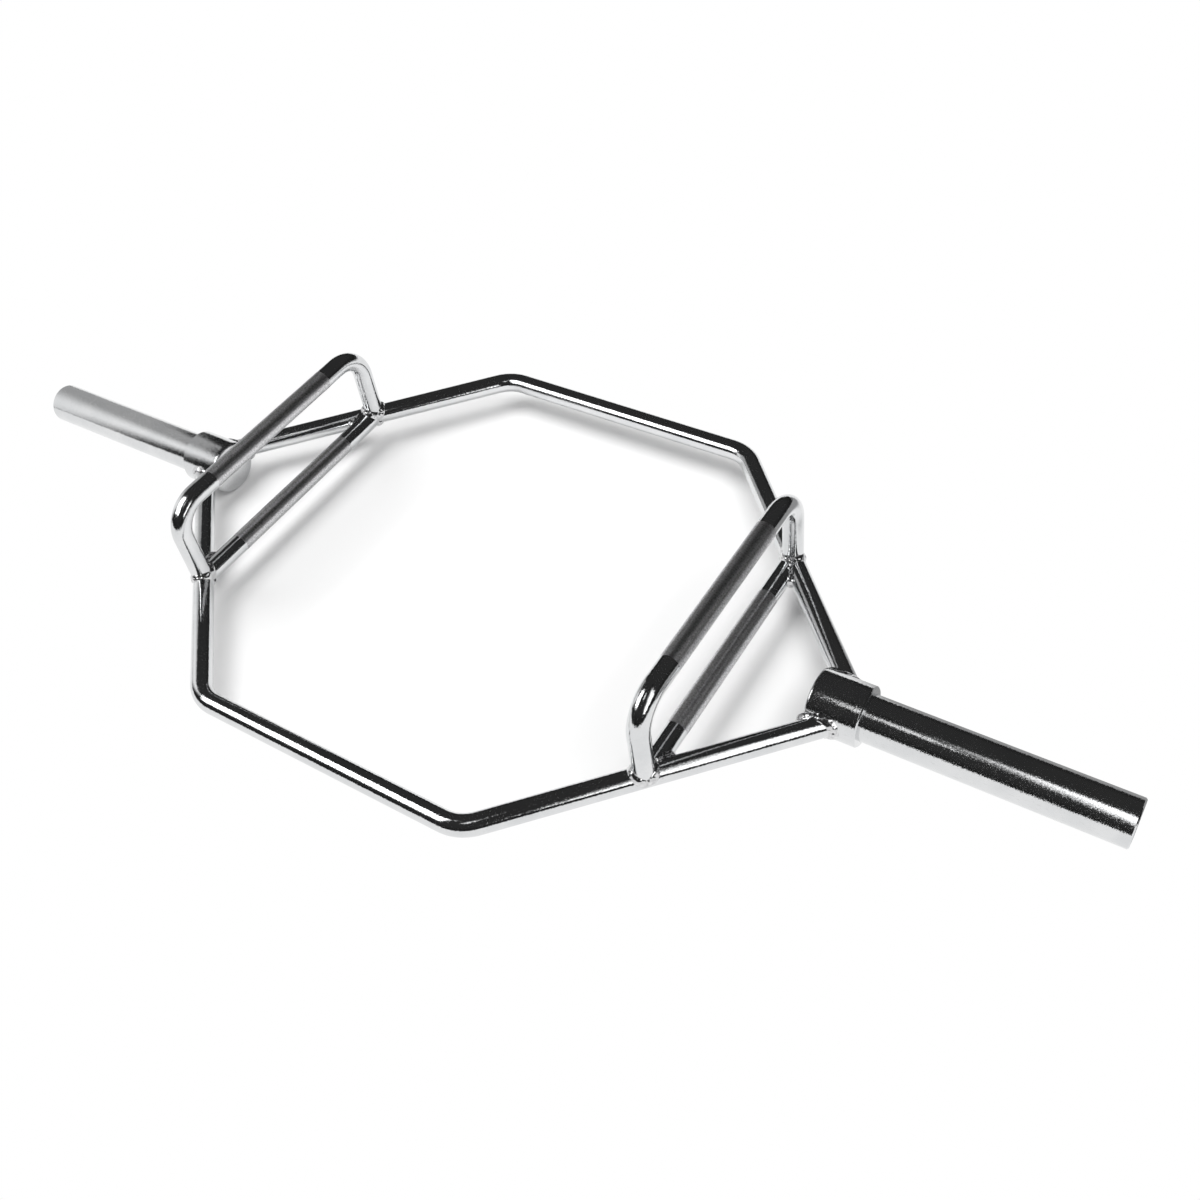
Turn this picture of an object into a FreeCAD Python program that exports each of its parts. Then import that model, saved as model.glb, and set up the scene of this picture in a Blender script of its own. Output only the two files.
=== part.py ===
import FreeCAD, Part
import math
import os

# A hexagonal lifting bar: a frame of two bent bars joined to a loading sleeve on each side,
# with a raised and a level handle on each side. Millimetres, +Z up, X along the sleeves.
# The origin is on the floor under the middle of the frame.

# Loading sleeves
sleeve_diameter = 50.0
sleeve_wall = 6.5
loading_length = 260.5
sleeve_end_chamfer = 1.5
spigot_step = 2.0
end_plug_thickness = 6.0
end_plug_recess = 1.0

# Collars that the sleeves and the frame meet in
collar_diameter = 65.0
collar_length = 50.0
collar_edge_chamfer = 1.5
end_plate_thickness = 6.0
end_plate_rim_radius = 3.0
bar_inset_from_plate = 1.7

# Hexagonal frame, measured on the axis of its bar
bar_diameter = 24.0
side_length = 347.0
frame_depth = 594.0
vertex_spacing = 909.0
frame_bend_radius = 45.0

# Handles
handle_diameter = 23.5
handle_spacing = 602.0
high_handle_rise = 103.0
high_handle_bend_radius = 37.0

# Weld beads
weld_bead_radius = 3.4
weld_ripple_pitch = 4.6
seam_steps = 360

# Places worked out from the sizes above
sleeve_radius = sleeve_diameter / 2
sleeve_bore_radius = sleeve_radius - sleeve_wall
spigot_radius = sleeve_radius - spigot_step
collar_radius = collar_diameter / 2
bar_radius = bar_diameter / 2
handle_radius = handle_diameter / 2

frame_height = collar_radius
corner_x = side_length / 2
corner_y = frame_depth / 2
vertex_x = vertex_spacing / 2
slant_angle = math.atan2(corner_y, vertex_x - corner_x)

bar_footprint = bar_radius / math.sin(slant_angle)
plate_inner_x = vertex_x - collar_radius / math.tan(slant_angle) - bar_footprint - bar_inset_from_plate
collar_inner_x = plate_inner_x + end_plate_thickness
collar_outer_x = collar_inner_x + collar_length
sleeve_end_x = collar_outer_x + loading_length

handle_x = handle_spacing / 2
handle_y = (vertex_x - handle_x) * math.tan(slant_angle)
high_handle_height = frame_height + high_handle_rise

ALONG_X = FreeCAD.Vector(1, 0, 0)
ALONG_Y = FreeCAD.Vector(0, 1, 0)
MIDDLE = FreeCAD.Vector(0, 0, 0)


def rod_along_x(radius, start_x, end_x):
    """Round rod on the sleeves' common axis."""
    return Part.makeCylinder(radius, end_x - start_x, FreeCAD.Vector(start_x, 0, frame_height), ALONG_X)


def edges_at_x(shape, x, radius):
    """The round edges of a turned piece that lie at one place and have one radius."""
    found = []
    for edge in shape.Edges:
        is_round = isinstance(edge.Curve, Part.Circle)
        if is_round and math.isclose(edge.CenterOfMass.x, x) and math.isclose(edge.Curve.Radius, radius):
            found.append(edge)
    return found


def rounded_path(corners, bend_radius):
    """Straight runs from corner to corner, joined by arcs that touch both runs."""
    edges = []
    run_start = corners[0]
    for before, corner, after in zip(corners, corners[1:], corners[2:]):
        back = (before - corner).normalize()
        ahead = (after - corner).normalize()
        half_angle = back.getAngle(ahead) / 2
        tangent_length = bend_radius / math.tan(half_angle)
        inward = (back + ahead).normalize()
        arc_start = corner + back * tangent_length
        arc_middle = corner + inward * (bend_radius / math.sin(half_angle) - bend_radius)
        arc_end = corner + ahead * tangent_length
        edges.append(Part.LineSegment(run_start, arc_start).toShape())
        edges.append(Part.Arc(arc_start, arc_middle, arc_end).toShape())
        run_start = arc_end
    edges.append(Part.LineSegment(run_start, corners[-1]).toShape())
    return Part.Wire(edges)


def bent_rod(corners, bend_radius, radius):
    """Round rod bent along the corners."""
    circle = Part.makeCircle(radius, corners[0], corners[1] - corners[0])
    section = Part.Face(Part.Wire(circle))
    return rounded_path(corners, bend_radius).makePipe(section)


def make_frame_bar():
    """Front bar: a straight side and two slanted arms, its ends shaped to lie on the collars."""
    ends_and_corners = [(-vertex_x, 0), (-corner_x, -corner_y), (corner_x, -corner_y), (vertex_x, 0)]
    corners = [FreeCAD.Vector(x, y, frame_height) for x, y in ends_and_corners]
    bar = bent_rod(corners, frame_bend_radius, bar_radius)
    return bar.cut(rod_along_x(collar_radius, -sleeve_end_x, sleeve_end_x))


def make_low_handle(front_bar, rear_bar):
    """Right level handle: a straight rod between the slanted arms, its ends shaped to the bars."""
    start = FreeCAD.Vector(handle_x, -handle_y, frame_height)
    rod = Part.makeCylinder(handle_radius, 2 * handle_y, start, ALONG_Y)
    return rod.cut([front_bar, rear_bar])


def make_high_handle(front_bar, rear_bar, low_handle):
    """Right raised handle: a U standing on the two slanted arms, over the level handle."""
    feet_and_bends = [
        (-handle_y, frame_height),
        (-handle_y, high_handle_height),
        (handle_y, high_handle_height),
        (handle_y, frame_height),
    ]
    corners = [FreeCAD.Vector(handle_x, y, z) for y, z in feet_and_bends]
    rod = bent_rod(corners, high_handle_bend_radius, handle_radius)
    return rod.cut([front_bar, rear_bar, low_handle])


def make_collar():
    """Right collar: a thick ring bored for the sleeve's spigot, its outer edge broken."""
    ring = rod_along_x(collar_radius, collar_inner_x, collar_outer_x)
    ring = ring.makeChamfer(collar_edge_chamfer, edges_at_x(ring, collar_outer_x, collar_radius))
    return ring.cut(rod_along_x(spigot_radius, collar_inner_x, collar_outer_x))


def make_end_plate():
    """Right end plate: a disc with a rounded rim that closes the collar's inner end."""
    disc = rod_along_x(collar_radius, plate_inner_x, collar_inner_x)
    return disc.makeFillet(end_plate_rim_radius, edges_at_x(disc, plate_inner_x, collar_radius))


def make_sleeve():
    """Right sleeve: a thick tube that shoulders on the collar and fills its bore with a spigot."""
    body = rod_along_x(sleeve_radius, collar_outer_x, sleeve_end_x)
    body = body.makeChamfer(sleeve_end_chamfer, edges_at_x(body, sleeve_end_x, sleeve_radius))
    spigot = rod_along_x(spigot_radius, collar_inner_x, collar_outer_x)
    bore = rod_along_x(sleeve_bore_radius, collar_inner_x, sleeve_end_x)
    return body.fuse(spigot).cut(bore)


def make_end_plug():
    """Right end plug: a disc that closes the sleeve's bore just inside its outer end."""
    plug_outer_x = sleeve_end_x - end_plug_recess
    return rod_along_x(sleeve_bore_radius, plug_outer_x - end_plug_thickness, plug_outer_x)


def ripple_places(seam_point):
    """Points one ripple apart along a closed seam, given as a function of the angle round its rod."""
    steps = [seam_point(2 * math.pi * step / seam_steps) for step in range(seam_steps)]
    places = []
    since_last = weld_ripple_pitch
    for here, ahead in zip(steps, steps[1:] + steps[:1]):
        if since_last >= weld_ripple_pitch:
            places.append(here)
            since_last = 0
        since_last += (ahead - here).Length
    return places


def bead_along(places, joined_pieces):
    """Bead of overlapping ripples, less what lies inside the pieces that it joins."""
    ripples = []
    for before, place, after in zip(places[-1:] + places, places, places[1:] + places[:1]):
        # The poles of each ball point along the seam, so they lie inside the balls beside it.
        ripples.append(Part.makeSphere(weld_bead_radius, place, after - before))
    joint = joined_pieces[0].multiFuse(joined_pieces[1:])
    return ripples[0].multiFuse(ripples[1:]).cut(joint)


def height_on_rod(radius, sideways):
    """How far a rod's surface stands from its axis plane, at a distance sideways from the axis."""
    return math.sqrt(max(radius ** 2 - sideways ** 2, 0))


def collar_seam(angle):
    """Point round the front right arm where it meets the collar."""
    up = bar_radius * math.cos(angle)
    across = bar_radius * math.sin(angle)
    y = -height_on_rod(collar_radius, up)
    x = vertex_x + y / math.tan(slant_angle) + across / math.sin(slant_angle)
    return FreeCAD.Vector(x, y, frame_height + up)


def foot_seam(angle):
    """Point round the high handle's front right leg where it stands on the arm or the level handle."""
    x = handle_radius * math.cos(angle)
    y = handle_radius * math.sin(angle)
    up = height_on_rod(bar_radius, x * math.sin(slant_angle) - y * math.cos(slant_angle))
    if y > 0:
        up = max(up, height_on_rod(handle_radius, x))
    return FreeCAD.Vector(handle_x + x, y - handle_y, frame_height + up)


def low_handle_seam(angle):
    """Point round the level handle's front right end where it meets the arm."""
    x = handle_radius * math.cos(angle)
    up = handle_radius * math.sin(angle)
    y = (height_on_rod(bar_radius, up) + x * math.sin(slant_angle)) / math.cos(slant_angle)
    return FreeCAD.Vector(handle_x + x, y - handle_y, frame_height + up)


def clear_of_leg(place, foot_places):
    """Whether a ripple on the level handle's seam keeps clear of the leg and of the leg's own bead."""
    from_leg = math.hypot(place.x - handle_x, place.y + handle_y)
    is_beside = from_leg > handle_radius + weld_bead_radius
    is_below = place.z < frame_height - weld_bead_radius
    nearest_ripple = min((place - other).Length for other in foot_places)
    return (is_beside or is_below) and nearest_ripple > 2 * weld_bead_radius


def mirrored(shape, normal):
    """The same piece on the other side of the middle plane that faces along the normal."""
    return shape.mirror(MIDDLE, normal)


def save(name, shape):
    """Write one piece to its own file."""
    shape.exportStep("parts/" + name + ".step")
    print(name, len(shape.Solids), round(shape.Volume), shape.isValid())


def build():
    """All the pieces by name, each made once and mirrored to its other places."""
    pieces = {}
    front_bar = make_frame_bar()
    rear_bar = mirrored(front_bar, ALONG_Y)
    pieces["front_frame_bar"] = front_bar
    pieces["rear_frame_bar"] = rear_bar

    low_handle = make_low_handle(front_bar, rear_bar)
    high_handle = make_high_handle(front_bar, rear_bar, low_handle)
    collar = make_collar()
    end_plate = make_end_plate()
    foot_places = ripple_places(foot_seam)
    low_places = [place for place in ripple_places(low_handle_seam) if clear_of_leg(place, foot_places)]
    foot_weld = bead_along(foot_places, [front_bar, low_handle, high_handle])
    low_weld = bead_along(low_places, [front_bar, low_handle])
    collar_weld = bead_along(ripple_places(collar_seam), [front_bar, collar, end_plate])

    right_pieces = {
        "sleeve": make_sleeve(),
        "sleeve_end_plug": make_end_plug(),
        "collar": collar,
        "collar_end_plate": end_plate,
        "high_handle": high_handle,
        "low_handle": low_handle,
    }
    for name, shape in right_pieces.items():
        pieces["right_" + name] = shape
        pieces["left_" + name] = mirrored(shape, ALONG_X)

    welds = {"collar_weld": collar_weld, "high_handle_foot_weld": foot_weld, "low_handle_weld": low_weld}
    for name, front_right in welds.items():
        rear_right = mirrored(front_right, ALONG_Y)
        pieces["right_front_" + name] = front_right
        pieces["right_rear_" + name] = rear_right
        pieces["left_front_" + name] = mirrored(front_right, ALONG_X)
        pieces["left_rear_" + name] = mirrored(rear_right, ALONG_X)
    return pieces


os.makedirs("parts", exist_ok=True)
for piece_name, piece in build().items():
    save(piece_name, piece)
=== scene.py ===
import math

import bmesh
import bpy
from mathutils import Matrix, Quaternion, Vector


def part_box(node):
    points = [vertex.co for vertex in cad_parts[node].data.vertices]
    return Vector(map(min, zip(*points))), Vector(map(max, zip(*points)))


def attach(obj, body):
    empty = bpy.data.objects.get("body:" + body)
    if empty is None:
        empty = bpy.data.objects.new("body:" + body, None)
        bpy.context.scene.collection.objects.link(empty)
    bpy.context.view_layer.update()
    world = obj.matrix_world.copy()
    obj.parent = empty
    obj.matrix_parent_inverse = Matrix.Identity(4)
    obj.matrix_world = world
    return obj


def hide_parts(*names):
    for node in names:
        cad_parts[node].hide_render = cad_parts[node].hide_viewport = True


# A chromed hexagonal lifting bar: two bent frame bars, four knurled handles, collars, loading
# sleeves and the weld beads between them. Metres, +Z up, X along the sleeves, -Y to the front.
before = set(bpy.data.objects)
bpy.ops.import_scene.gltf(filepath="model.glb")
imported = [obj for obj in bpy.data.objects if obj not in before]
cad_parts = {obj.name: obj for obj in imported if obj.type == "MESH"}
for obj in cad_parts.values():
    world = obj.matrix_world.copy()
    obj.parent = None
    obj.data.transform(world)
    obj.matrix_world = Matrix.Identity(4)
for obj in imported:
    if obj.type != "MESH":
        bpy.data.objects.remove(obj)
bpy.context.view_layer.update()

# Sizes read from the solids
collar_low, collar_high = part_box("right_collar")
plate_low, plate_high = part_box("right_collar_end_plate")
sleeve_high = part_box("right_sleeve")[1]
plug_low, plug_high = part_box("right_sleeve_end_plug")
bar_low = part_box("front_frame_bar")[0]
low_handle_low, low_handle_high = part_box("right_low_handle")

axis_height = (collar_low.z + collar_high.z) / 2
collar_radius = collar_high.z - axis_height
sleeve_radius = sleeve_high.z - axis_height
bore_radius = plug_high.z - axis_height
handle_radius = (low_handle_high.x - low_handle_low.x) / 2
handle_x = (low_handle_high.x + low_handle_low.x) / 2

# Frame and handles
bar_radius = 0.012
side_length = 0.347
vertex_spacing = 0.909
frame_bend_radius = 0.045
high_handle_rise = 0.103
high_handle_bend_radius = 0.037

corner_x = side_length / 2
corner_y = -bar_low.y - bar_radius
vertex_x = vertex_spacing / 2
slant_angle = math.atan2(corner_y, vertex_x - corner_x)
handle_y = (vertex_x - handle_x) * math.tan(slant_angle)
high_handle_height = axis_height + high_handle_rise

# Turned pieces
spigot_step = 0.002
spigot_radius = sleeve_radius - spigot_step
sleeve_chamfer = 0.0015
collar_chamfer = 0.0015
plate_rim_radius = 0.003
broken_edge_radius = 0.0004
rounding_steps = 6
turned_sides = 160

# Knurled grips
grip_length = 0.198
knurl_columns = 160
knurl_depth = 0.00009
diamond_steps = 4
knurl_step = 2 * math.pi * handle_radius / knurl_columns
knurl_rows = diamond_steps * round(grip_length / knurl_step / diamond_steps)

# Weld beads
bead_width = 0.0060
bead_crown = 0.0004
bead_root = 0.0015
bead_ripple_pitch = 0.0046
bead_ripple_height = 0.00025
bead_lump_size = 0.0060
bead_lump_height = 0.0034
bead_flush_crowning = 3
bead_end_thickness = 0.001
least_half_opening = 0.4
bead_section_steps = 10
seam_steps = 240

# Fineness of the rods
rod_sides = 96
ring_spacing = 0.003
bend_steps = 32
cope_allowance = 0.001
merge_distance = 0.00001
crisp_edge_angle = math.radians(40)

SIDES = {"right": 1, "left": -1}
ENDS = {"front": 1, "rear": -1}
ALONG_X = Vector((1, 0, 0))
ALONG_Y = Vector((0, 1, 0))
UP = Vector((0, 0, 1))


def add_node(tree, kind, inputs=None, **settings):
    """One node, with its settings, and its inputs linked or set."""
    node = tree.nodes.new(kind)
    for name, value in settings.items():
        setattr(node, name, value)
    for key, value in (inputs or {}).items():
        if isinstance(value, bpy.types.NodeSocket):
            tree.links.new(value, node.inputs[key])
        else:
            node.inputs[key].default_value = value
    return node


def calc(tree, operation, first, second=0.0):
    """Result of a sum on two values."""
    return add_node(tree, "ShaderNodeMath", {0: first, 1: second}, operation=operation).outputs[0]


# Finishes

clean_chrome = (0.67, 0.68, 0.69)
hazy_chrome = (0.75, 0.755, 0.76)
haze_size = 0.035
wave_size = 0.012
wave_height = 0.000012
grain_size = 0.0010
speck_size = 0.0009
speck_edge = 0.06
speck_dullness = 0.21
scuffed_chrome = (0.62, 0.625, 0.63)
scuff_size = 0.0012
scuff_start = 0.6
scuff_end = 0.8
scuff_dullness = 0.06

dirty_points = (0.46, 0.46, 0.47)
clean_points = (0.92, 0.92, 0.93)
dirty_grooves = (0.32, 0.315, 0.325)
clean_grooves = (0.64, 0.635, 0.645)
dirt_size = 0.0016
dirty_roughness = 0.40
clean_roughness = 0.30
groove_dullness = 0.06
grit_size = 0.0004
grit_height = 0.00002
shine_along_grip = 0.75

dull_weld = (0.56, 0.56, 0.57)
bright_weld = (0.74, 0.74, 0.745)
patch_size = 0.004
dull_weld_roughness = 0.22
bright_weld_roughness = 0.08
pit_size = 0.0025
pit_height = 0.00008


def noise(tree, place, size, detail, stretch=None):
    """Cloudy value with features of one size, drawn out along the axes where a stretch is given."""
    if stretch:
        place = add_node(tree, "ShaderNodeMapping", {"Vector": place, "Scale": stretch}).outputs["Vector"]
    inputs = {"Vector": place, "Scale": 1 / size, "Detail": detail}
    return add_node(tree, "ShaderNodeTexNoise", inputs).outputs[0]


def spread(tree, value, low, high, start=0.3, end=0.7):
    """A cloudy value spread over a range."""
    inputs = {"Value": value, "From Min": start, "From Max": end, "To Min": low, "To Max": high}
    return add_node(tree, "ShaderNodeMapRange", inputs).outputs["Result"]


def eased(tree, value, start, end):
    """Smooth rise from 0 to 1 between two values."""
    inputs = {"Value": value, "From Min": start, "From Max": end}
    node = add_node(tree, "ShaderNodeMapRange", inputs, interpolation_type="SMOOTHSTEP")
    return node.outputs["Result"]


def blend_colours(tree, share, first, second):
    """Colour between two, by a share."""
    node = add_node(tree, "ShaderNodeMix", data_type="RGBA")
    sockets = [socket for socket in node.inputs if socket.enabled]
    tree.links.new(share, sockets[0])
    for socket, colour in zip(sockets[1:], (first, second)):
        if isinstance(colour, bpy.types.NodeSocket):
            tree.links.new(colour, socket)
        else:
            socket.default_value = (*colour, 1)
    return next(socket for socket in node.outputs if socket.enabled)


def raised(tree, height, tallness, under=None):
    """Surface direction on a small relief, over another relief where one is given."""
    inputs = {"Height": height, "Distance": tallness}
    if under:
        inputs["Normal"] = under
    return add_node(tree, "ShaderNodeBump", inputs).outputs["Normal"]


def leaning(tree, place, size, lean, under):
    """Surface direction that leans to and fro over another, by a grain of one size."""
    inputs = {"Vector": place, "Scale": 1 / size, "Detail": 1.0}
    grain = add_node(tree, "ShaderNodeTexNoise", inputs).outputs["Color"]
    inputs = {0: grain, 1: (2 * lean,) * 3, 2: (-lean,) * 3}
    offset = add_node(tree, "ShaderNodeVectorMath", inputs, operation="MULTIPLY_ADD").outputs["Vector"]
    total = add_node(tree, "ShaderNodeVectorMath", {0: under, 1: offset}, operation="ADD").outputs["Vector"]
    return add_node(tree, "ShaderNodeVectorMath", {0: total}, operation="NORMALIZE").outputs["Vector"]


def new_finish(name):
    """Material with its tree, its metal shader and the place on the piece."""
    finish = bpy.data.materials.new(name)
    finish.use_nodes = True
    tree = finish.node_tree
    metal = tree.nodes["Principled BSDF"]
    metal.inputs["Metallic"].default_value = 1.0
    place = add_node(tree, "ShaderNodeTexCoord").outputs["Object"]
    return finish, tree, metal, place


def chrome_finish(name, grain_lean, clean, hazy, speck_start, scuff_stretch):
    """Plating over drawn or turned steel: dull specks, a broad waviness, hazy patches and faint scuffs."""
    finish, tree, metal, place = new_finish(name)
    haze = noise(tree, place, haze_size, detail=4.0)
    dots = noise(tree, place, speck_size, detail=1.0)
    specks = spread(tree, dots, 0.0, 1.0, speck_start, speck_start + speck_edge)
    rubs = noise(tree, place, scuff_size, detail=2.0, stretch=scuff_stretch)
    scuffs = spread(tree, rubs, 0.0, 1.0, scuff_start, scuff_end)
    tone = blend_colours(tree, spread(tree, haze, 0.0, 1.0), clean_chrome, hazy_chrome)
    tree.links.new(blend_colours(tree, scuffs, tone, scuffed_chrome), metal.inputs["Base Color"])
    worn = calc(tree, "MULTIPLY", scuffs, scuff_dullness)
    plain = calc(tree, "ADD", spread(tree, haze, clean, hazy), worn)
    dull = calc(tree, "ADD", plain, calc(tree, "MULTIPLY", specks, speck_dullness))
    tree.links.new(dull, metal.inputs["Roughness"])
    wave = raised(tree, noise(tree, place, wave_size, detail=2.0), wave_height)
    tree.links.new(leaning(tree, place, grain_size, grain_lean, wave), metal.inputs["Normal"])
    return finish


def knurl_finish():
    """Plating in the knurl: darker, duller grooves, brighter points, and a shine drawn out along the grip.
    """
    finish, tree, metal, place = new_finish("knurl_chrome")
    groove = add_node(tree, "ShaderNodeAttribute", attribute_name="groove").outputs["Fac"]
    clean = spread(tree, noise(tree, place, dirt_size, detail=2.0), 0.0, 1.0)
    points = blend_colours(tree, clean, dirty_points, clean_points)
    grooves = blend_colours(tree, clean, dirty_grooves, clean_grooves)
    tree.links.new(blend_colours(tree, groove, points, grooves), metal.inputs["Base Color"])
    on_points = spread(tree, clean, dirty_roughness, clean_roughness, 0.0, 1.0)
    dull = calc(tree, "ADD", on_points, calc(tree, "MULTIPLY", groove, groove_dullness))
    tree.links.new(dull, metal.inputs["Roughness"])
    grit = raised(tree, noise(tree, place, grit_size, detail=2.0), grit_height)
    tree.links.new(grit, metal.inputs["Normal"])
    # The tangent socket holds no value of its own, so a node gives it the direction of the grip.
    along_grip = add_node(tree, "ShaderNodeCombineXYZ", {"Y": 1.0}).outputs["Vector"]
    tree.links.new(along_grip, metal.inputs["Tangent"])
    metal.inputs["Anisotropic"].default_value = shine_along_grip
    return finish


def weld_finish():
    """Plating over weld metal: pitted, with duller patches."""
    finish, tree, metal, place = new_finish("weld_chrome")
    bright = spread(tree, noise(tree, place, patch_size, detail=4.0), 0.0, 1.0)
    tree.links.new(blend_colours(tree, bright, dull_weld, bright_weld), metal.inputs["Base Color"])
    dull = spread(tree, bright, dull_weld_roughness, bright_weld_roughness, 0.0, 1.0)
    tree.links.new(dull, metal.inputs["Roughness"])
    pits = raised(tree, noise(tree, place, pit_size, detail=2.0), pit_height)
    tree.links.new(pits, metal.inputs["Normal"])
    return finish


# Trees that make the rods and the beads

def new_tree(name, sizes):
    """Empty tree with a geometry and named sizes as inputs, and a geometry as output."""
    tree = bpy.data.node_groups.new(name, "GeometryNodeTree")
    tree.interface.new_socket("Geometry", in_out="INPUT", socket_type="NodeSocketGeometry")
    for label, kind in sizes.items():
        tree.interface.new_socket(label, in_out="INPUT", socket_type="NodeSocket" + kind)
    tree.interface.new_socket("Geometry", in_out="OUTPUT", socket_type="NodeSocketGeometry")
    return tree, tree.nodes.new("NodeGroupInput").outputs, tree.nodes.new("NodeGroupOutput").inputs


def stored(tree, name, kind):
    """Value kept under a name."""
    node = add_node(tree, "GeometryNodeInputNamedAttribute", {"Name": name}, data_type=kind)
    return node.outputs["Attribute"]


def store(tree, geometry, name, value, kind, domain="POINT"):
    """The geometry with a value kept under a name."""
    inputs = {"Geometry": geometry, "Name": name, "Value": value}
    node = add_node(tree, "GeometryNodeStoreNamedAttribute", inputs, data_type=kind, domain=domain)
    return node.outputs["Geometry"]


def coated(tree, geometry, finish):
    """Real geometry with its finish."""
    real = add_node(tree, "GeometryNodeRealizeInstances", {"Geometry": geometry}).outputs["Geometry"]
    inputs = {"Geometry": real, "Material": finish}
    return add_node(tree, "GeometryNodeSetMaterial", inputs).outputs["Geometry"]


def moved_outward(tree, geometry, distance):
    """The geometry with each point moved off its surface by a distance."""
    facing = add_node(tree, "GeometryNodeInputNormal").outputs["Normal"]
    inputs = {"Vector": facing, "Scale": distance}
    offset = add_node(tree, "ShaderNodeVectorMath", inputs, operation="SCALE").outputs["Vector"]
    inputs = {"Geometry": geometry, "Offset": offset}
    return add_node(tree, "GeometryNodeSetPosition", inputs).outputs["Geometry"]


def bent_runs(tree, given):
    """Curve along the straight runs, with an arc at each corner."""
    runs = add_node(tree, "GeometryNodeMeshToCurve", {"Mesh": given["Geometry"]}).outputs["Curve"]
    inputs = {"Curve": runs, "Radius": given["Bend Radius"], "Count": bend_steps}
    return add_node(tree, "GeometryNodeFilletCurve", inputs, mode="POLY").outputs["Curve"]


def bent_rod_tree():
    """Round rod along straight runs, with a bend at each corner."""
    tree, given, result = new_tree("bent_rod", {
        "Rod Radius": "Float",
        "Bend Radius": "Float",
        "Ring Spacing": "Float",
        "Sides": "Int",
        "Finish": "Material",
    })
    inputs = {"Curve": bent_runs(tree, given), "Length": given["Ring Spacing"]}
    rings = add_node(tree, "GeometryNodeResampleCurve", inputs, mode="LENGTH").outputs["Curve"]
    inputs = {"Resolution": given["Sides"], "Radius": given["Rod Radius"]}
    circle = add_node(tree, "GeometryNodeCurvePrimitiveCircle", inputs).outputs["Curve"]
    inputs = {"Curve": rings, "Profile Curve": circle}
    skin = add_node(tree, "GeometryNodeCurveToMesh", inputs).outputs["Mesh"]
    tree.links.new(coated(tree, skin, given["Finish"]), result["Geometry"])
    return tree


def knurled_rod_tree():
    """Bent rod whose grip is cut with two sets of slanted grooves, which leave flat-topped diamonds."""
    tree, given, result = new_tree("knurled_rod", {
        "Rod Radius": "Float",
        "Bend Radius": "Float",
        "Ring Spacing": "Float",
        "Knurl Columns": "Int",
        "Knurl Rows": "Int",
        "Knurl Depth": "Float",
        "Finish": "Material",
        "Grip Finish": "Material",
    })
    on_grip = stored(tree, "on_grip", "BOOLEAN")
    off_grip = add_node(tree, "FunctionNodeBooleanMath", {0: on_grip}, operation="NOT").outputs[0]
    inputs = {"Curve": bent_runs(tree, given), "Selection": off_grip, "Length": given["Ring Spacing"]}
    plain = add_node(tree, "GeometryNodeResampleCurve", inputs, mode="LENGTH").outputs["Curve"]
    inputs = {"Curve": plain, "Selection": on_grip, "Count": calc(tree, "ADD", given["Knurl Rows"], 1.0)}
    rows = add_node(tree, "GeometryNodeResampleCurve", inputs, mode="COUNT").outputs["Curve"]
    inputs = {"Curve": rows, "Normal": ALONG_X}
    level = add_node(tree, "GeometryNodeSetCurveNormal", inputs, mode="FREE").outputs["Curve"]
    row_number = add_node(tree, "GeometryNodeSplineParameter").outputs["Index"]
    path = store(tree, level, "row", row_number, "INT")
    inputs = {"Resolution": given["Knurl Columns"], "Radius": given["Rod Radius"]}
    circle = add_node(tree, "GeometryNodeCurvePrimitiveCircle", inputs).outputs["Curve"]
    column_number = add_node(tree, "GeometryNodeInputIndex").outputs["Index"]
    profile = store(tree, circle, "column", column_number, "INT")
    inputs = {"Curve": path, "Profile Curve": profile}
    skin = add_node(tree, "GeometryNodeCurveToMesh", inputs).outputs["Mesh"]

    row = stored(tree, "row", "INT")
    column = stored(tree, "column", "INT")
    off_one_set = calc(tree, "PINGPONG", calc(tree, "ADD", row, column), diamond_steps / 2)
    off_other_set = calc(tree, "PINGPONG", calc(tree, "SUBTRACT", row, column), diamond_steps / 2)
    in_groove = calc(tree, "LESS_THAN", calc(tree, "MINIMUM", off_one_set, off_other_set), 0.5)
    past_start = calc(tree, "GREATER_THAN", row, 0.5)
    before_end = calc(tree, "LESS_THAN", row, calc(tree, "SUBTRACT", given["Knurl Rows"], 0.5))
    inside = calc(tree, "MULTIPLY", calc(tree, "MULTIPLY", past_start, before_end), on_grip)
    groove = calc(tree, "MULTIPLY", inside, in_groove)
    marked = store(tree, skin, "groove", groove, "FLOAT")
    marked = store(tree, marked, "knurled", on_grip, "BOOLEAN", "FACE")
    depth = calc(tree, "MULTIPLY", stored(tree, "groove", "FLOAT"), given["Knurl Depth"])
    cut = moved_outward(tree, marked, calc(tree, "MULTIPLY", depth, -1.0))
    inputs = {"Geometry": cut, "Distance": merge_distance}
    whole = add_node(tree, "GeometryNodeMergeByDistance", inputs).outputs["Geometry"]
    knurled = stored(tree, "knurled", "BOOLEAN")
    inputs = {"Mesh": whole, "Selection": knurled}
    facets = add_node(tree, "GeometryNodeTriangulate", inputs, quad_method="SHORTEST_DIAGONAL")
    inputs = {
        "Geometry": coated(tree, facets.outputs["Mesh"], given["Finish"]),
        "Selection": knurled,
        "Material": given["Grip Finish"],
    }
    gripped = add_node(tree, "GeometryNodeSetMaterial", inputs).outputs["Geometry"]
    tree.links.new(gripped, result["Geometry"])
    return tree


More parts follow.
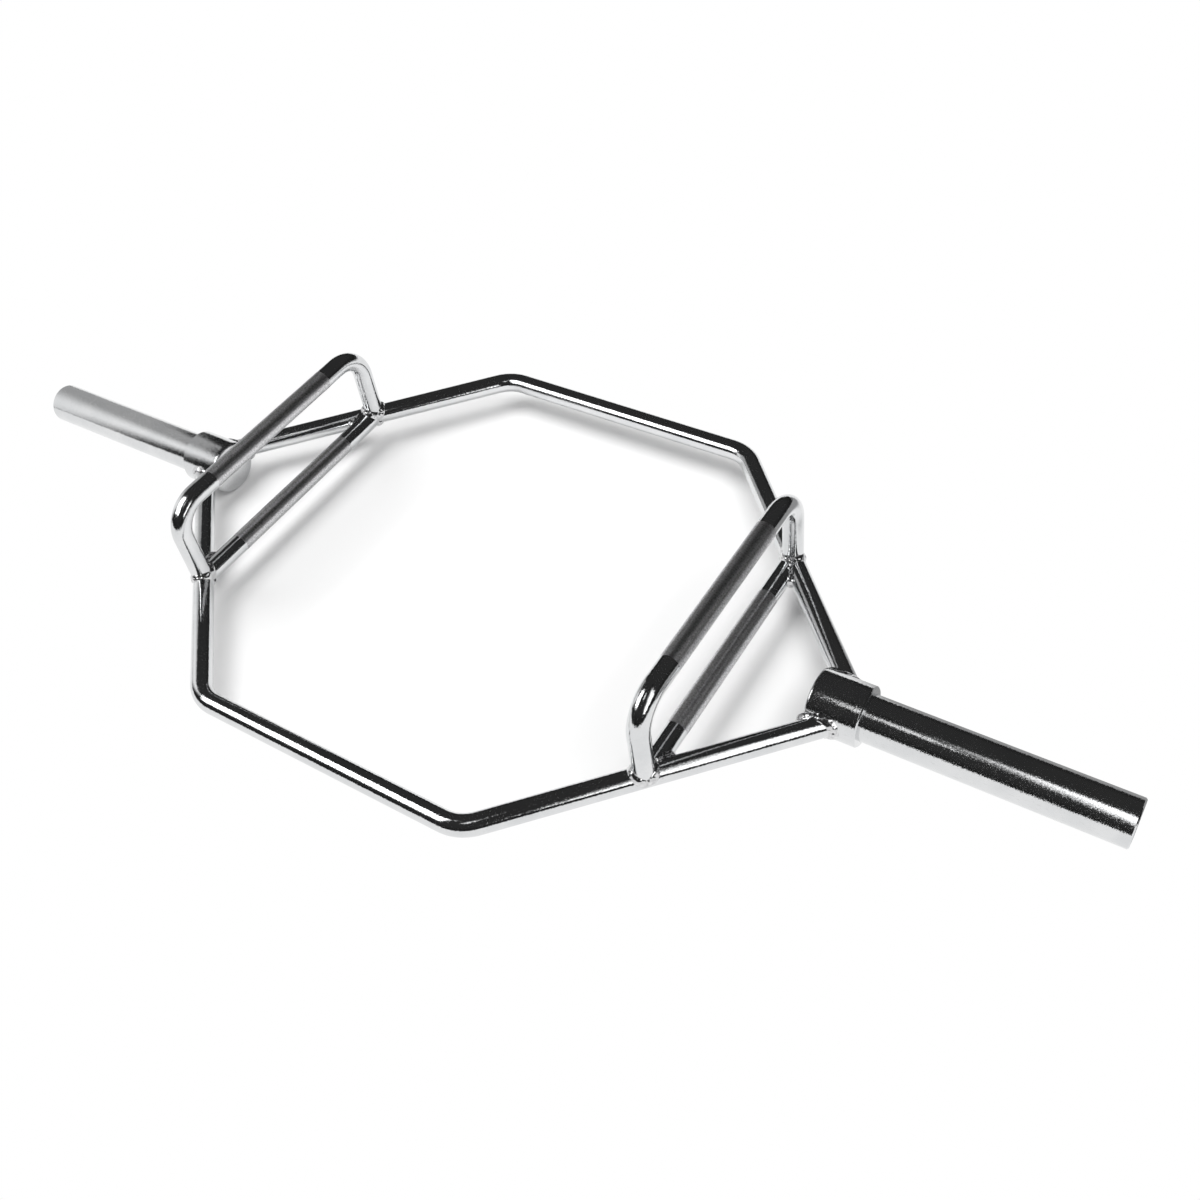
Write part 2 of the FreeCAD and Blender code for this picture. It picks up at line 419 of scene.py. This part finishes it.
def weld_bead_tree():
    """Skin of a weld bead: ripples one pitch apart along the seam, and lumps, that die out at its toes."""
    tree, given, result = new_tree("weld_bead", {
        "Ripple Pitch": "Float",
        "Ripple Height": "Float",
        "Lump Size": "Float",
        "Lump Height": "Float",
        "Seed": "Float",
        "Finish": "Material",
    })
    half_turns = calc(tree, "DIVIDE", stored(tree, "along_seam", "FLOAT"), given["Ripple Pitch"])
    ripple = calc(tree, "ABSOLUTE", calc(tree, "SINE", calc(tree, "MULTIPLY", half_turns, math.pi)))
    ripples = calc(tree, "MULTIPLY", calc(tree, "SUBTRACT", ripple, 0.5), given["Ripple Height"])
    inputs = {
        "Vector": add_node(tree, "GeometryNodeInputPosition").outputs["Position"],
        "W": given["Seed"],
        "Scale": calc(tree, "DIVIDE", 1.0, given["Lump Size"]),
    }
    lump = add_node(tree, "ShaderNodeTexNoise", inputs, noise_dimensions="4D").outputs[0]
    lumps = calc(tree, "MULTIPLY", calc(tree, "SUBTRACT", lump, 0.5), given["Lump Height"])
    relief = calc(tree, "MULTIPLY", calc(tree, "ADD", ripples, lumps), stored(tree, "off_toes", "FLOAT"))
    uneven = moved_outward(tree, given["Geometry"], relief)
    tree.links.new(coated(tree, uneven, given["Finish"]), result["Geometry"])
    return tree


# Making pieces

def run_mesh(name, runs, grip=None):
    """Mesh of bare edges along each run of points, with the grip's run marked."""
    points = []
    edges = []
    marks = []
    for number, run in enumerate(runs):
        first = len(points)
        points += run
        edges += [(here, here + 1) for here in range(first, len(points) - 1)]
        marks += [number == grip] * len(run)
    mesh = bpy.data.meshes.new(name)
    mesh.from_pydata(points, edges, [])
    mesh.attributes.new("on_grip", "BOOLEAN", "POINT").data.foreach_set("value", marks)
    return mesh


def grown(mesh, tree, sizes):
    """Plain mesh that a tree makes from a mesh with the given sizes."""
    source = bpy.data.objects.new(mesh.name, mesh)
    bpy.context.scene.collection.objects.link(source)
    modifier = source.modifiers.new(tree.name, "NODES")
    modifier.node_group = tree
    for item in tree.interface.items_tree:
        if item.name in sizes:
            modifier[item.identifier] = sizes[item.name]
    depsgraph = bpy.context.evaluated_depsgraph_get()
    made = bpy.data.meshes.new_from_object(source.evaluated_get(depsgraph), depsgraph=depsgraph)
    source.modifiers.remove(modifier)
    bpy.data.objects.remove(source)
    return made


def shade(mesh):
    """Smooth faces with crisp edges, apart from the knurl's facets."""
    flags = [True] * len(mesh.polygons)
    knurled = mesh.attributes.get("knurled")
    if knurled:
        knurled.data.foreach_get("value", flags)
        flags = [not flag for flag in flags]
    mesh.polygons.foreach_set("use_smooth", flags)
    mesh.set_sharp_from_angle(angle=crisp_edge_angle)


def keep_piece(name, mesh):
    """A finished piece that stands for the solid of the same name."""
    shade(mesh)
    mesh.name = name
    piece = bpy.data.objects.new(name + "_finished", mesh)
    bpy.context.scene.collection.objects.link(piece)
    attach(piece, "root")
    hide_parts(name)


def first_hit(start, direction, rod):
    """How far a point travels along a direction before it meets an endless rod."""
    place, along, radius = rod
    offset = start - place
    offset = offset - along * offset.dot(along)
    travel = direction - along * direction.dot(along)
    ahead = offset.dot(travel)
    apart = offset.dot(offset) - radius ** 2
    return (-ahead - math.sqrt(max(ahead ** 2 - travel.dot(travel) * apart, 0))) / travel.dot(travel)


def cope_ends(mesh, ends):
    """Stretches each open end of a rod until it lies on what it is welded to, and closes it."""
    shape = bmesh.new()
    shape.from_mesh(mesh)
    open_edges = [edge for edge in shape.edges if edge.is_boundary]
    for place, direction, stops in ends:
        rim = [edge for edge in open_edges if (edge.verts[0].co - place).length < 2 * bar_radius]
        corners = {vertex for edge in rim for vertex in edge.verts}
        for vertex in corners:
            vertex.co += direction * min(first_hit(vertex.co, direction, rod) for rod in stops(vertex.co))
        depth = min(first_hit(place, direction, rod) for rod in stops(place))
        hub = shape.verts.new(place + direction * depth)
        for edge in rim:
            shape.faces.new((*edge.verts, hub))
    bmesh.ops.recalc_face_normals(shape, faces=shape.faces)
    shape.to_mesh(mesh)
    shape.free()


def arm_rod(side, end):
    """Endless rod along a slanted arm of the frame."""
    vertex = Vector((side * vertex_x, 0, axis_height))
    corner = Vector((side * corner_x, -end * corner_y, axis_height))
    return vertex, (vertex - corner).normalized(), bar_radius


def make_frame_bar(tree, end, finish):
    """Front or rear bar: a straight side and two slanted arms, its ends shaped to lie on the collars."""
    collar_rod = (Vector((0, 0, axis_height)), ALONG_X, collar_radius)
    reach = (collar_radius + bar_radius * math.cos(slant_angle)) / math.sin(slant_angle) + cope_allowance
    tips = {}
    directions = {}
    for side in SIDES.values():
        vertex, directions[side], _ = arm_rod(side, end)
        tips[side] = vertex - directions[side] * reach
    corners = [Vector((side * corner_x, -end * corner_y, axis_height)) for side in (-1, 1)]
    mesh = grown(run_mesh("bar_runs", [[tips[-1], *corners, tips[1]]]), tree, {
        "Rod Radius": bar_radius,
        "Bend Radius": frame_bend_radius,
        "Ring Spacing": ring_spacing,
        "Sides": rod_sides,
        "Finish": finish,
    })
    cope_ends(mesh, [(tips[side], directions[side], lambda place: [collar_rod]) for side in SIDES.values()])
    return mesh


def knurled_handle(tree, runs, ends, finish, grip_finish):
    """Handle along three runs, with the knurl on the middle one and its ends shaped to what they meet."""
    mesh = grown(run_mesh("handle_runs", runs, grip=1), tree, {
        "Rod Radius": handle_radius,
        "Bend Radius": high_handle_bend_radius,
        "Ring Spacing": ring_spacing,
        "Knurl Columns": knurl_columns,
        "Knurl Rows": knurl_rows,
        "Knurl Depth": knurl_depth,
        "Finish": finish,
        "Grip Finish": grip_finish,
    })
    cope_ends(mesh, ends)
    return mesh


def make_low_handle(tree, side, finish, grip_finish):
    """Level handle: a straight rod between the slanted arms."""
    gap = (bar_radius + handle_radius * math.sin(slant_angle)) / math.cos(slant_angle) + cope_allowance
    tip_y = handle_y - gap
    row_y = [-tip_y, -grip_length / 2, grip_length / 2, tip_y]
    points = [Vector((side * handle_x, y, axis_height)) for y in row_y]
    runs = [points[0:2], points[1:3], points[2:4]]
    ends = []
    for end, tip in ((1, points[0]), (-1, points[3])):
        ends.append((tip, -end * ALONG_Y, lambda place, end=end: [arm_rod(side, end)]))
    return knurled_handle(tree, runs, ends, finish, grip_finish)


def make_high_handle(tree, side, finish, grip_finish):
    """Raised handle: a U that stands on the slanted arms, over the level handle."""
    foot_height = axis_height + bar_radius + cope_allowance
    level_rod = (Vector((side * handle_x, 0, axis_height)), ALONG_Y, handle_radius)
    places = [
        (-handle_y, foot_height),
        (-handle_y, high_handle_height),
        (-grip_length / 2, high_handle_height),
        (grip_length / 2, high_handle_height),
        (handle_y, high_handle_height),
        (handle_y, foot_height),
    ]
    points = [Vector((side * handle_x, y, z)) for y, z in places]
    runs = [points[0:3], points[2:4], points[3:6]]

    def stops(place):
        """Rods that a point of a foot can come down on."""
        rods = [arm_rod(side, -1 if place.y > 0 else 1)]
        if abs(place.y) < handle_y:
            rods.append(level_rod)
        return rods

    ends = [(points[0], -UP, stops), (points[5], -UP, stops)]
    return knurled_handle(tree, runs, ends, finish, grip_finish)


def rounded_outline(corners):
    """Outline of a turned piece, from corners with a place along the axis, a radius and a rounding."""
    outline = []
    for number, (x, radius, rounding) in enumerate(corners):
        corner = Vector((x, radius))
        if not rounding:
            outline.append(corner)
            continue
        back = (Vector(corners[number - 1][:2]) - corner).normalized()
        ahead = (Vector(corners[(number + 1) % len(corners)][:2]) - corner).normalized()
        half_angle = back.angle(ahead) / 2
        middle = corner + (back + ahead).normalized() * rounding / math.sin(half_angle)
        arc_start = corner + back * rounding / math.tan(half_angle) - middle
        arc_end = corner + ahead * rounding / math.tan(half_angle) - middle
        sweep = -arc_start.angle_signed(arc_end)
        for step in range(rounding_steps + 1):
            outline.append(middle + Matrix.Rotation(sweep * step / rounding_steps, 2) @ arc_start)
    return outline


def turned_mesh(corners, side, finish):
    """Closed mesh of an outline turned about the axis of the sleeves."""
    shape = bmesh.new()
    rings = []
    for x, radius in rounded_outline(corners):
        ring = []
        for step in range(turned_sides if radius else 1):
            angle = 2 * math.pi * step / turned_sides
            across = radius * math.sin(angle)
            up = radius * math.cos(angle)
            ring.append(shape.verts.new((side * x, across, axis_height + up)))
        rings.append(ring)
    for near, far in zip(rings, rings[1:] + rings[:1]):
        for step in range(turned_sides):
            here = step % len(near), step % len(far)
            ahead = (step + 1) % turned_sides % len(near), (step + 1) % turned_sides % len(far)
            face = dict.fromkeys([near[here[0]], near[ahead[0]], far[ahead[1]], far[here[1]]])
            if len(face) > 2:
                shape.faces.new(face)
    bmesh.ops.recalc_face_normals(shape, faces=shape.faces)
    mesh = bpy.data.meshes.new("turned")
    shape.to_mesh(mesh)
    shape.free()
    mesh.materials.append(finish)
    return mesh


def turned_outlines():
    """Corners of each turned piece on the right side: place along the axis, radius and rounding."""
    inner_x = collar_low.x
    outer_x = collar_high.x
    end_x = sleeve_high.x
    edge = broken_edge_radius
    return {
        "collar_end_plate": [
            (plate_low.x, 0, 0),
            (plate_low.x, collar_radius, plate_rim_radius),
            (plate_high.x, collar_radius, 0),
            (plate_high.x, 0, 0),
        ],
        "collar": [
            (inner_x, spigot_radius, 0),
            (inner_x, collar_radius, 0),
            (outer_x - collar_chamfer, collar_radius, edge),
            (outer_x, collar_radius - collar_chamfer, edge),
            (outer_x, spigot_radius, 0),
        ],
        "sleeve": [
            (inner_x, bore_radius, 0),
            (inner_x, spigot_radius, 0),
            (outer_x, spigot_radius, 0),
            (outer_x, sleeve_radius, 0),
            (end_x - sleeve_chamfer, sleeve_radius, edge),
            (end_x, sleeve_radius - sleeve_chamfer, edge),
            (end_x, bore_radius, edge),
        ],
        "sleeve_end_plug": [
            (plug_low.x, 0, 0),
            (plug_low.x, bore_radius, 0),
            (plug_high.x, bore_radius, edge),
            (plug_high.x, 0, 0),
        ],
    }


def height_on_rod(radius, sideways):
    """How far a rod's surface stands from its axis plane, at a distance sideways from the axis."""
    return math.sqrt(max(radius ** 2 - sideways ** 2, 0))


def collar_seam(angle):
    """Point round the front right arm where it meets the collar."""
    up = bar_radius * math.cos(angle)
    across = bar_radius * math.sin(angle)
    y = -height_on_rod(collar_radius, up)
    x = vertex_x + y / math.tan(slant_angle) + across / math.sin(slant_angle)
    return Vector((x, y, axis_height + up))


def foot_seam(angle):
    """Point round the high handle's front right leg where it stands on the arm or the level handle."""
    x = handle_radius * math.cos(angle)
    y = handle_radius * math.sin(angle)
    up = height_on_rod(bar_radius, x * math.sin(slant_angle) - y * math.cos(slant_angle))
    if y > 0:
        up = max(up, height_on_rod(handle_radius, x))
    return Vector((handle_x + x, y - handle_y, axis_height + up))


def low_handle_seam(angle):
    """Point round the level handle's front right end where it meets the arm."""
    x = handle_radius * math.cos(angle)
    up = handle_radius * math.sin(angle)
    y = (height_on_rod(bar_radius, up) + x * math.sin(slant_angle)) / math.cos(slant_angle)
    return Vector((handle_x + x, y - handle_y, axis_height + up))


def clear_of_leg(place):
    """Whether a point on the level handle's seam keeps clear of the leg above it."""
    is_beside = math.hypot(place.x - handle_x, place.y + handle_y) > handle_radius + bead_width / 2
    return is_beside or place.z < axis_height - bead_width / 2


def outward(place, rod):
    """Direction from a rod's axis to a place."""
    middle, along, _ = rod
    offset = place - middle
    return (offset - along * offset.dot(along)).normalized()


def on_rod(place, rod):
    """Point on a rod's skin that is nearest to a place."""
    middle, along, radius = rod
    offset = place - middle
    return middle + along * offset.dot(along) + outward(place, rod) * radius


def seam_rods(seam, place):
    """The rod that ends at a place on a seam, the way that it leads off, and the rod that it stands on."""
    arm = arm_rod(1, 1)
    level = (Vector((handle_x, 0, axis_height)), ALONG_Y, handle_radius)
    if seam == collar_seam:
        return arm, -arm[1], (Vector((0, 0, axis_height)), ALONG_X, collar_radius)
    if seam == low_handle_seam:
        return level, ALONG_Y, arm
    leg = (Vector((handle_x, -handle_y, 0)), UP, handle_radius)
    stands_on_level = (place - on_rod(place, level)).length < merge_distance and place.y > -handle_y
    return leg, UP, level if stands_on_level else arm


def bead_section(place, along, rods, share):
    """Points round a bead's section, face then root, each with how far it is off the toes."""
    stub, away, base = rods
    stub_out = outward(place, stub)
    base_out = outward(place, base)
    up_stub = along.cross(stub_out).normalized()
    over_base = -along.cross(base_out).normalized()
    if up_stub.dot(away) < 0:
        up_stub = -up_stub
        over_base = -over_base
    half_opening = math.sqrt((1 - up_stub.dot(over_base)) / 2)
    flush = max(-up_stub.dot(over_base), 0.0)
    reach = share * bead_width * (1 + flush) / (2 * max(half_opening, least_half_opening))
    toes = on_rod(place + up_stub * reach, stub), on_rod(place + over_base * reach, base)
    out = (stub_out + base_out).normalized()
    crown = (toes[0] + toes[1]) / 2 + out * 2 * bead_crown * (1 + bead_flush_crowning * flush) * share
    section = []
    for step in range(bead_section_steps + 1):
        ahead = step / bead_section_steps
        back = 1 - ahead
        point = toes[0] * back ** 2 + crown * 2 * back * ahead + toes[1] * ahead ** 2
        section.append((point, math.sqrt(4 * back * ahead)))
    section.append((place - out * bead_root * share, 0.0))
    return section


def bead_mesh(seam):
    """Bead along a seam of the front right corner, closed on itself or tapered to its two ends."""
    turns = [math.pi / 2 + 2 * math.pi * step / seam_steps for step in range(seam_steps)]
    places = [seam(turn) for turn in turns]
    closed = seam != low_handle_seam
    if not closed:
        places = [place for place in places if clear_of_leg(place)]
    lengths = [0.0]
    for here, ahead in zip(places, places[1:]):
        lengths.append(lengths[-1] + (ahead - here).length)
    shape = bmesh.new()
    along_layer = shape.verts.layers.float.new("along_seam")
    toe_layer = shape.verts.layers.float.new("off_toes")
    rings = []
    for number, place in enumerate(places):
        before = places[number - 1] if closed else places[max(number - 1, 0)]
        after = places[(number + 1) % len(places)] if closed else places[min(number + 1, len(places) - 1)]
        from_end = min(lengths[number], lengths[-1] - lengths[number])
        near_end = 0.0 if closed else max(1 - from_end / bead_width, 0.0)
        share = math.sqrt(1 + bead_end_thickness - near_end ** 2)
        ring = []
        along = (after - before).normalized()
        for point, off_toes in bead_section(place, along, seam_rods(seam, place), share):
            vertex = shape.verts.new(point)
            vertex[along_layer] = lengths[number]
            vertex[toe_layer] = off_toes
            ring.append(vertex)
        rings.append(ring)
    pairs = list(zip(rings, rings[1:]))
    if closed:
        pairs.append((rings[-1], rings[0]))
    else:
        shape.faces.new(rings[0])
        shape.faces.new(rings[-1])
    for near, far in pairs:
        for step in range(len(near)):
            shape.faces.new((near[step - 1], near[step], far[step], far[step - 1]))
    mesh = bpy.data.meshes.new("bead")
    bmesh.ops.recalc_face_normals(shape, faces=shape.faces)
    shape.to_mesh(mesh)
    shape.free()
    return mesh


def make_weld(tree, seam, side, end, seed, finish):
    """Bead along a seam of the front right corner, taken to another corner by its side and end."""
    mesh = bead_mesh(seam)
    mesh.transform(Matrix.Diagonal((side, end, 1, 1)))
    if side * end < 0:
        mesh.flip_normals()
    return grown(mesh, tree, {
        "Ripple Pitch": bead_ripple_pitch,
        "Ripple Height": bead_ripple_height,
        "Lump Size": bead_lump_size,
        "Lump Height": bead_lump_height,
        "Seed": float(seed),
        "Finish": finish,
    })


def make_pieces():
    """Every piece, on each side and end."""
    bar_chrome = chrome_finish(
        "bar_chrome",
        grain_lean=0.10,
        clean=0.05,
        hazy=0.09,
        speck_start=0.67,
        scuff_stretch=(1, 1, 1),
    )
    turned_chrome = chrome_finish(
        "turned_chrome",
        grain_lean=0.11,
        clean=0.06,
        hazy=0.09,
        speck_start=0.60,
        scuff_stretch=(0.2, 1, 1),
    )
    knurl_chrome = knurl_finish()
    weld_chrome = weld_finish()
    rod_tree = bent_rod_tree()
    handle_tree = knurled_rod_tree()
    bead_tree = weld_bead_tree()
    for end_name, end in ENDS.items():
        keep_piece(end_name + "_frame_bar", make_frame_bar(rod_tree, end, bar_chrome))
    handles = {"low_handle": make_low_handle, "high_handle": make_high_handle}
    seams = {
        "collar_weld": collar_seam,
        "high_handle_foot_weld": foot_seam,
        "low_handle_weld": low_handle_seam,
    }
    seed = 0
    for side_name, side in SIDES.items():
        for name, corners in turned_outlines().items():
            keep_piece(side_name + "_" + name, turned_mesh(corners, side, turned_chrome))
        for name, make_handle in handles.items():
            handle = make_handle(handle_tree, side, bar_chrome, knurl_chrome)
            keep_piece(side_name + "_" + name, handle)
        for end_name, end in ENDS.items():
            for name, seam in seams.items():
                seed += 1
                weld = make_weld(bead_tree, seam, side, end, seed, weld_chrome)
                keep_piece(side_name + "_" + end_name + "_" + name, weld)


# Studio

floor_radius = 8.0
room_radius = 7.0
floor_colour = (0.80, 0.80, 0.80)
floor_glow = 0.05
shadow_share = 0.955
plain_share = 1.03
# How dark the painted shadow of the right sleeve is on the floor, as metal sees it.
painted_sleeve_shadow = 0.65
shade_side_start = 0.40
shade_side_end = 0.48
shade_slant = 0.15
shade_rear_start = -0.005
shade_rear_end = 0.01
room_low_glow = 0.012
room_high_glow = 0.03
white_glow = 1.0
camera_place = Vector((0.73151, -0.72416, 1.05585))
camera_aim = Vector((0.12049, 0.03872, 0.0))
camera_roll = math.radians(-9.184)
camera_lens = 38.04
camera_sensor = 36.0


def seen_directly(tree):
    """1 for what the camera sees, straight or in metal and glass."""
    path = add_node(tree, "ShaderNodeLightPath").outputs
    mirrored = calc(tree, "MAXIMUM", path["Is Glossy Ray"], path["Is Transmission Ray"])
    return calc(tree, "MAXIMUM", path["Is Camera Ray"], mirrored)


def share_of_frame(tree, place):
    """How far out in the frame a place on the floor is seen from the camera's place: 1 behind the bars."""
    lift = axis_height / camera_place.z
    inputs = {0: place, 1: (1 - lift,) * 3, 2: camera_place * lift}
    lifted = add_node(tree, "ShaderNodeVectorMath", inputs, operation="MULTIPLY_ADD").outputs["Vector"]
    apart = add_node(tree, "ShaderNodeSeparateXYZ", {"Vector": lifted}).outputs
    aside = calc(tree, "ABSOLUTE", apart["X"])
    ahead = calc(tree, "ABSOLUTE", apart["Y"])
    past_arm = calc(tree, "ADD", aside, calc(tree, "DIVIDE", ahead, math.tan(slant_angle)))
    towards_arms = calc(tree, "DIVIDE", past_arm, vertex_x)
    towards_sides = calc(tree, "DIVIDE", ahead, corner_y)
    return calc(tree, "MAXIMUM", towards_arms, towards_sides)


def painted_shadow_behind_sleeve(tree, place):
    """1 where the right sleeve's painted shadow lies on the floor behind it."""
    apart = add_node(tree, "ShaderNodeSeparateXYZ", {"Vector": place}).outputs
    slanted = calc(tree, "ADD", apart["X"], calc(tree, "MULTIPLY", apart["Y"], shade_slant))
    beside = eased(tree, slanted, shade_side_start, shade_side_end)
    return calc(tree, "MULTIPLY", beside, eased(tree, apart["Y"], shade_rear_start, shade_rear_end))


def floor_finish():
    """White floor that takes the shadow within the frame and is plain white round it.

    In metal it has a painted shadow of the right sleeve: a darker patch behind that sleeve.
    """
    finish = bpy.data.materials.new("white_floor")
    finish.use_nodes = True
    tree = finish.node_tree
    tree.nodes.clear()
    place = add_node(tree, "ShaderNodeTexCoord").outputs["Object"]
    outside = eased(tree, share_of_frame(tree, place), shadow_share, plain_share)
    paint = add_node(tree, "ShaderNodeBsdfDiffuse", {"Color": (*floor_colour, 1)}).outputs["BSDF"]
    seen = seen_directly(tree)
    glow = add_node(tree, "ShaderNodeEmission", {"Strength": calc(tree, "MULTIPLY", seen, floor_glow)})
    lit = add_node(tree, "ShaderNodeAddShader", {0: paint, 1: glow.outputs["Emission"]}).outputs["Shader"]
    straight = add_node(tree, "ShaderNodeLightPath").outputs["Is Camera Ray"]
    # Painted shadow: metal sees the floor darker behind the right sleeve, as if the sleeve's shadow lay
    # there.
    shaded = calc(tree, "MULTIPLY", painted_shadow_behind_sleeve(tree, place), -painted_sleeve_shadow)
    in_metal = calc(tree, "MULTIPLY", seen, calc(tree, "ADD", shaded, 1.0))
    strength = calc(tree, "MAXIMUM", straight, in_metal)
    white = add_node(tree, "ShaderNodeEmission", {"Strength": strength}).outputs["Emission"]
    mixed = add_node(tree, "ShaderNodeMixShader", {0: outside, 1: lit, 2: white}).outputs["Shader"]
    add_node(tree, "ShaderNodeOutputMaterial", {"Surface": mixed})
    finish.cycles.emission_sampling = "NONE"
    return finish


def glowing_finish(name, strength, is_lamp):
    """Surface that gives off light as its strength says, and is sampled as a lamp where it is one."""
    finish = bpy.data.materials.new(name)
    finish.use_nodes = True
    tree = finish.node_tree
    tree.nodes.clear()
    glow = add_node(tree, "ShaderNodeEmission", {"Strength": strength(tree)}).outputs["Emission"]
    add_node(tree, "ShaderNodeOutputMaterial", {"Surface": glow})
    finish.cycles.emission_sampling = "FRONT" if is_lamp else "NONE"
    return finish


def stage_piece(name, shape, finish, seen=True):
    """Piece of the studio, which isn't part of the object."""
    mesh = bpy.data.meshes.new(name)
    shape.to_mesh(mesh)
    shape.free()
    mesh.materials.append(finish)
    piece = bpy.data.objects.new(name, mesh)
    bpy.context.scene.collection.objects.link(piece)
    piece.visible_camera = seen
    return piece


def back_side(tree):
    """1 on the back of a face."""
    return add_node(tree, "ShaderNodeNewGeometry").outputs["Backfacing"]


def light_card(name, middle, across, upward, brightness, fades, dim_part=None):
    """Flat light that shines from its front, fades at its edges and can have a dim part at one end.

    The fades are shares of the card: left, right, lower and upper. A dim part has the share of the
    card at which it starts, the share from which it is fully dim, and its level.
    """
    def strength(tree):
        place = add_node(tree, "ShaderNodeUVMap", uv_map="card").outputs["UV"]
        share = add_node(tree, "ShaderNodeSeparateXYZ", {"Vector": place}).outputs
        left, right, lower, upper = fades
        front = calc(tree, "SUBTRACT", brightness, calc(tree, "MULTIPLY", back_side(tree), brightness))
        for value, start, end in (
            (share["X"], 0.0, left),
            (share["X"], 1.0, 1.0 - right),
            (share["Y"], 0.0, lower),
            (share["Y"], 1.0, 1.0 - upper),
        ):
            front = calc(tree, "MULTIPLY", front, eased(tree, value, start, end))
        if dim_part:
            dim_start, dim_end, dim_level = dim_part
            lost = calc(tree, "MULTIPLY", eased(tree, share["X"], dim_end, dim_start), 1.0 - dim_level)
            front = calc(tree, "MULTIPLY", front, calc(tree, "SUBTRACT", 1.0, lost))
        return front

    shape = bmesh.new()
    layer = shape.loops.layers.uv.new("card")
    corners = [(0, 0), (1, 0), (1, 1), (0, 1)]
    middle = Vector(middle)
    across = Vector(across)
    upward = Vector(upward)
    points = [shape.verts.new(middle + across * (u - 0.5) + upward * (v - 0.5)) for u, v in corners]
    for loop, corner in zip(shape.faces.new(points).loops, corners):
        loop[layer].uv = corner
    finish = glowing_finish(name, strength, is_lamp=brightness > white_glow)
    card = stage_piece(name, shape, finish, seen=False)
    card.visible_shadow = False
    card.visible_diffuse = False


def room_strength(tree):
    """Dim walls, darkest at the floor."""
    place = add_node(tree, "ShaderNodeTexCoord").outputs["Object"]
    height = add_node(tree, "ShaderNodeSeparateXYZ", {"Vector": place}).outputs["Z"]
    return spread(tree, height, room_low_glow, room_high_glow, 0.0, room_radius / 2)


def shadow_lamp(name, place, depth, width, brightness):
    """Lamp that gives the floor its light and the object its shadow, and stays out of the reflections."""
    data = bpy.data.lights.new(name, "AREA")
    data.shape = "RECTANGLE"
    data.size = depth
    data.size_y = width
    data.energy = brightness * math.pi * depth * width
    lamp = bpy.data.objects.new(name, data)
    bpy.context.scene.collection.objects.link(lamp)
    lamp.location = place
    lamp.rotation_mode = "QUATERNION"
    lamp.rotation_quaternion = (-Vector(place)).to_track_quat("-Z", "Y")
    lamp.visible_camera = False
    lamp.visible_glossy = False


def make_studio():
    """Floor, dim room, lights and white surroundings."""
    shape = bmesh.new()
    bmesh.ops.create_circle(shape, cap_ends=True, radius=floor_radius, segments=96)
    stage_piece("floor", shape, floor_finish())
    shape = bmesh.new()
    bmesh.ops.create_uvsphere(shape, u_segments=64, v_segments=32, radius=room_radius)
    dim_wall = glowing_finish("dim_wall", room_strength, is_lamp=False)
    room = stage_piece("dim_room", shape, dim_wall, seen=False)
    room.visible_shadow = False
    light_card(
        "left_card",
        middle=(-0.775, -0.64, 0.975),
        across=(-1.15, 0, 0),
        upward=(0, 0.72, 0.65),
        brightness=3.5,
        fades=(0.12, 0.12, 0.2, 0.15),
    )
    light_card(
        "right_card",
        middle=(1.13, -0.605, 0.62),
        across=(0.9, 0, 0),
        upward=(0.68, -1.09, 0),
        brightness=2.0,
        fades=(0.36, 0.1, 0.11, 0.1),
    )
    light_card(
        "overhead_card",
        middle=(0.225, -0.72, 1.5),
        across=(0.30, 0, 0),
        upward=(0, -0.56, 0),
        brightness=1.1,
        fades=(0.3, 0.3, 0.25, 0.25),
    )
    light_card(
        "grey_card",
        middle=(-1.0, -0.07, 0.37),
        across=(0, 1.12, 0),
        upward=(0, -0.26, 0.74),
        brightness=1.0,
        fades=(0.31, 0.10, 0.03, 0.18),
        dim_part=(0.67, 0.34, 0.42),
    )
    shadow_lamp("left_lamp", place=(-1.5, 0.2, 2.3), depth=3.0, width=1.5, brightness=5.9)
    shadow_lamp("right_lamp", place=(1.2, 0.0, 2.3), depth=2.6, width=1.6, brightness=3.4)
    world = bpy.data.worlds.new("white_surroundings")
    world.use_nodes = True
    tree = world.node_tree
    background = tree.nodes["Background"]
    background.inputs["Color"].default_value = (1, 1, 1, 1)
    tree.links.new(seen_directly(tree), background.inputs["Strength"])
    bpy.context.scene.world = world


def make_camera():
    """Camera at the height and angle of the photograph."""
    data = bpy.data.cameras.new("camera")
    data.lens = camera_lens
    data.sensor_width = camera_sensor
    camera = bpy.data.objects.new("camera", data)
    bpy.context.scene.collection.objects.link(camera)
    camera.location = camera_place
    camera.rotation_mode = "QUATERNION"
    level = (camera_aim - camera_place).to_track_quat("-Z", "Y")
    camera.rotation_quaternion = level @ Quaternion(UP, camera_roll)
    bpy.context.scene.camera = camera
    bpy.context.scene.view_settings.view_transform = "Standard"


make_pieces()
make_studio()
make_camera()
